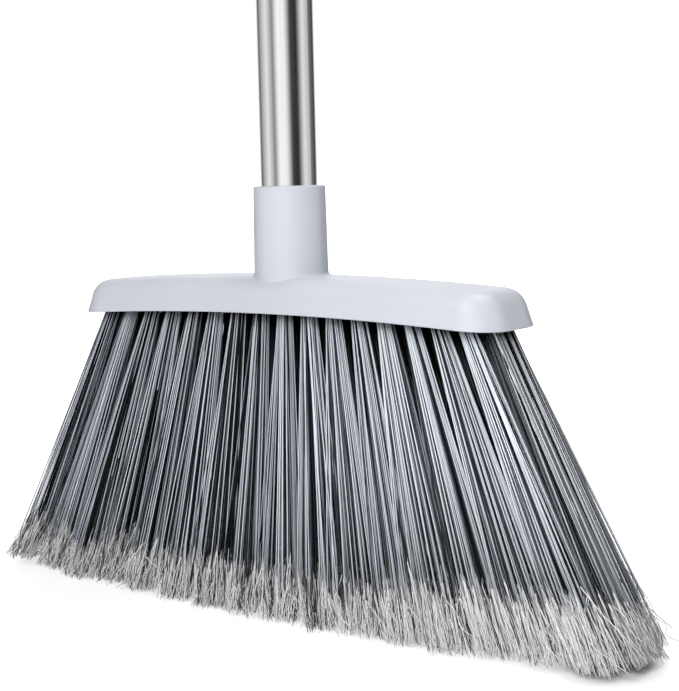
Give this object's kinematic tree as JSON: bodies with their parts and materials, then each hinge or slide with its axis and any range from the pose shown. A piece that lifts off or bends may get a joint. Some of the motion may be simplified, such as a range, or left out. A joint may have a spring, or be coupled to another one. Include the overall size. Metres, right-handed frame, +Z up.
{
  "type": "broom",
  "caption": "Upright broom: arched block head with a splayed fan of flagged bristles, on a steel tube pole of screw-together sections with collars and grips.",
  "frame": {"origin": "on the floor under the pole's axis, at the level of the bristle tips", "axes": "+Z up the pole, X along the head, Y across the head"},
  "size_m": [0.3118, 0.0552, 1.3333],
  "materials": {
    "head_plastic": "satin moulded pale cool grey",
    "bristle": "glossy blue-grey filament with flagged silver tips",
    "steel_tube": "bright polished stainless",
    "staple_wire": "flat drawn wire",
    "grip_plastic": "satin moulded pale cool grey",
    "plug_plastic": "moulded mid grey",
    "washer_rubber": "matt black"
  },
  "bodies": {
    "head": {"head_cover": "head_plastic", "tuft_plate": "head_plastic", "tuft_staples": "staple_wire", "bristle_row_1": "bristle", "bristle_row_2": "bristle", "bristle_row_3": "bristle", "bristle_row_4": "bristle"},
    "washer_1": {"joint_washer_1": "washer_rubber"},
    "section_1": {"thread_plug_1": "plug_plastic", "pole_tube_1": "steel_tube", "coupling_collar_1": "grip_plastic"},
    "washer_2": {"joint_washer_2": "washer_rubber"},
    "section_2": {"thread_plug_2": "plug_plastic", "pole_tube_2": "steel_tube", "coupling_collar_2": "grip_plastic"},
    "washer_3": {"joint_washer_3": "washer_rubber"},
    "section_3": {"thread_plug_3": "plug_plastic", "pole_tube_3": "steel_tube", "middle_grip": "grip_plastic"},
    "washer_4": {"joint_washer_4": "washer_rubber"},
    "section_4": {"thread_plug_4": "plug_plastic", "pole_tube_4": "steel_tube", "top_grip": "grip_plastic", "hanging_cap": "grip_plastic"}
  },
  "joints": [
    {"name": "section_1_rise", "type": "slide", "parent": "head", "child": "washer_1", "axis": [0, 0, 1], "range_m": [0, 0.012]},
    {"name": "section_1_turn", "type": "hinge", "parent": "washer_1", "child": "section_1", "pos_m": [0, 0, 0.1514], "axis": [0, 0, 1], "range_deg": [0, 1080]},
    {"name": "section_2_rise", "type": "slide", "parent": "section_1", "child": "washer_2", "axis": [0, 0, 1], "range_m": [0, 0.012]},
    {"name": "section_2_turn", "type": "hinge", "parent": "washer_2", "child": "section_2", "pos_m": [0, 0, 0.4425], "axis": [0, 0, 1], "range_deg": [0, 1080]},
    {"name": "section_3_rise", "type": "slide", "parent": "section_2", "child": "washer_3", "axis": [0, 0, 1], "range_m": [0, 0.012]},
    {"name": "section_3_turn", "type": "hinge", "parent": "washer_3", "child": "section_3", "pos_m": [0, 0, 0.7336], "axis": [0, 0, 1], "range_deg": [0, 1080]},
    {"name": "section_4_rise", "type": "slide", "parent": "section_3", "child": "washer_4", "axis": [0, 0, 1], "range_m": [0, 0.012]},
    {"name": "section_4_turn", "type": "hinge", "parent": "washer_4", "child": "section_4", "pos_m": [0, 0, 1.0247], "axis": [0, 0, 1], "range_deg": [0, 1080]}
  ],
  "couplings": [
    {"joint": "section_1_turn", "follows": "section_1_rise", "rad_per_m": 1570.8},
    {"joint": "section_2_turn", "follows": "section_2_rise", "rad_per_m": 1570.8},
    {"joint": "section_3_turn", "follows": "section_3_rise", "rad_per_m": 1570.8},
    {"joint": "section_4_turn", "follows": "section_4_rise", "rad_per_m": 1570.8}
  ]
}
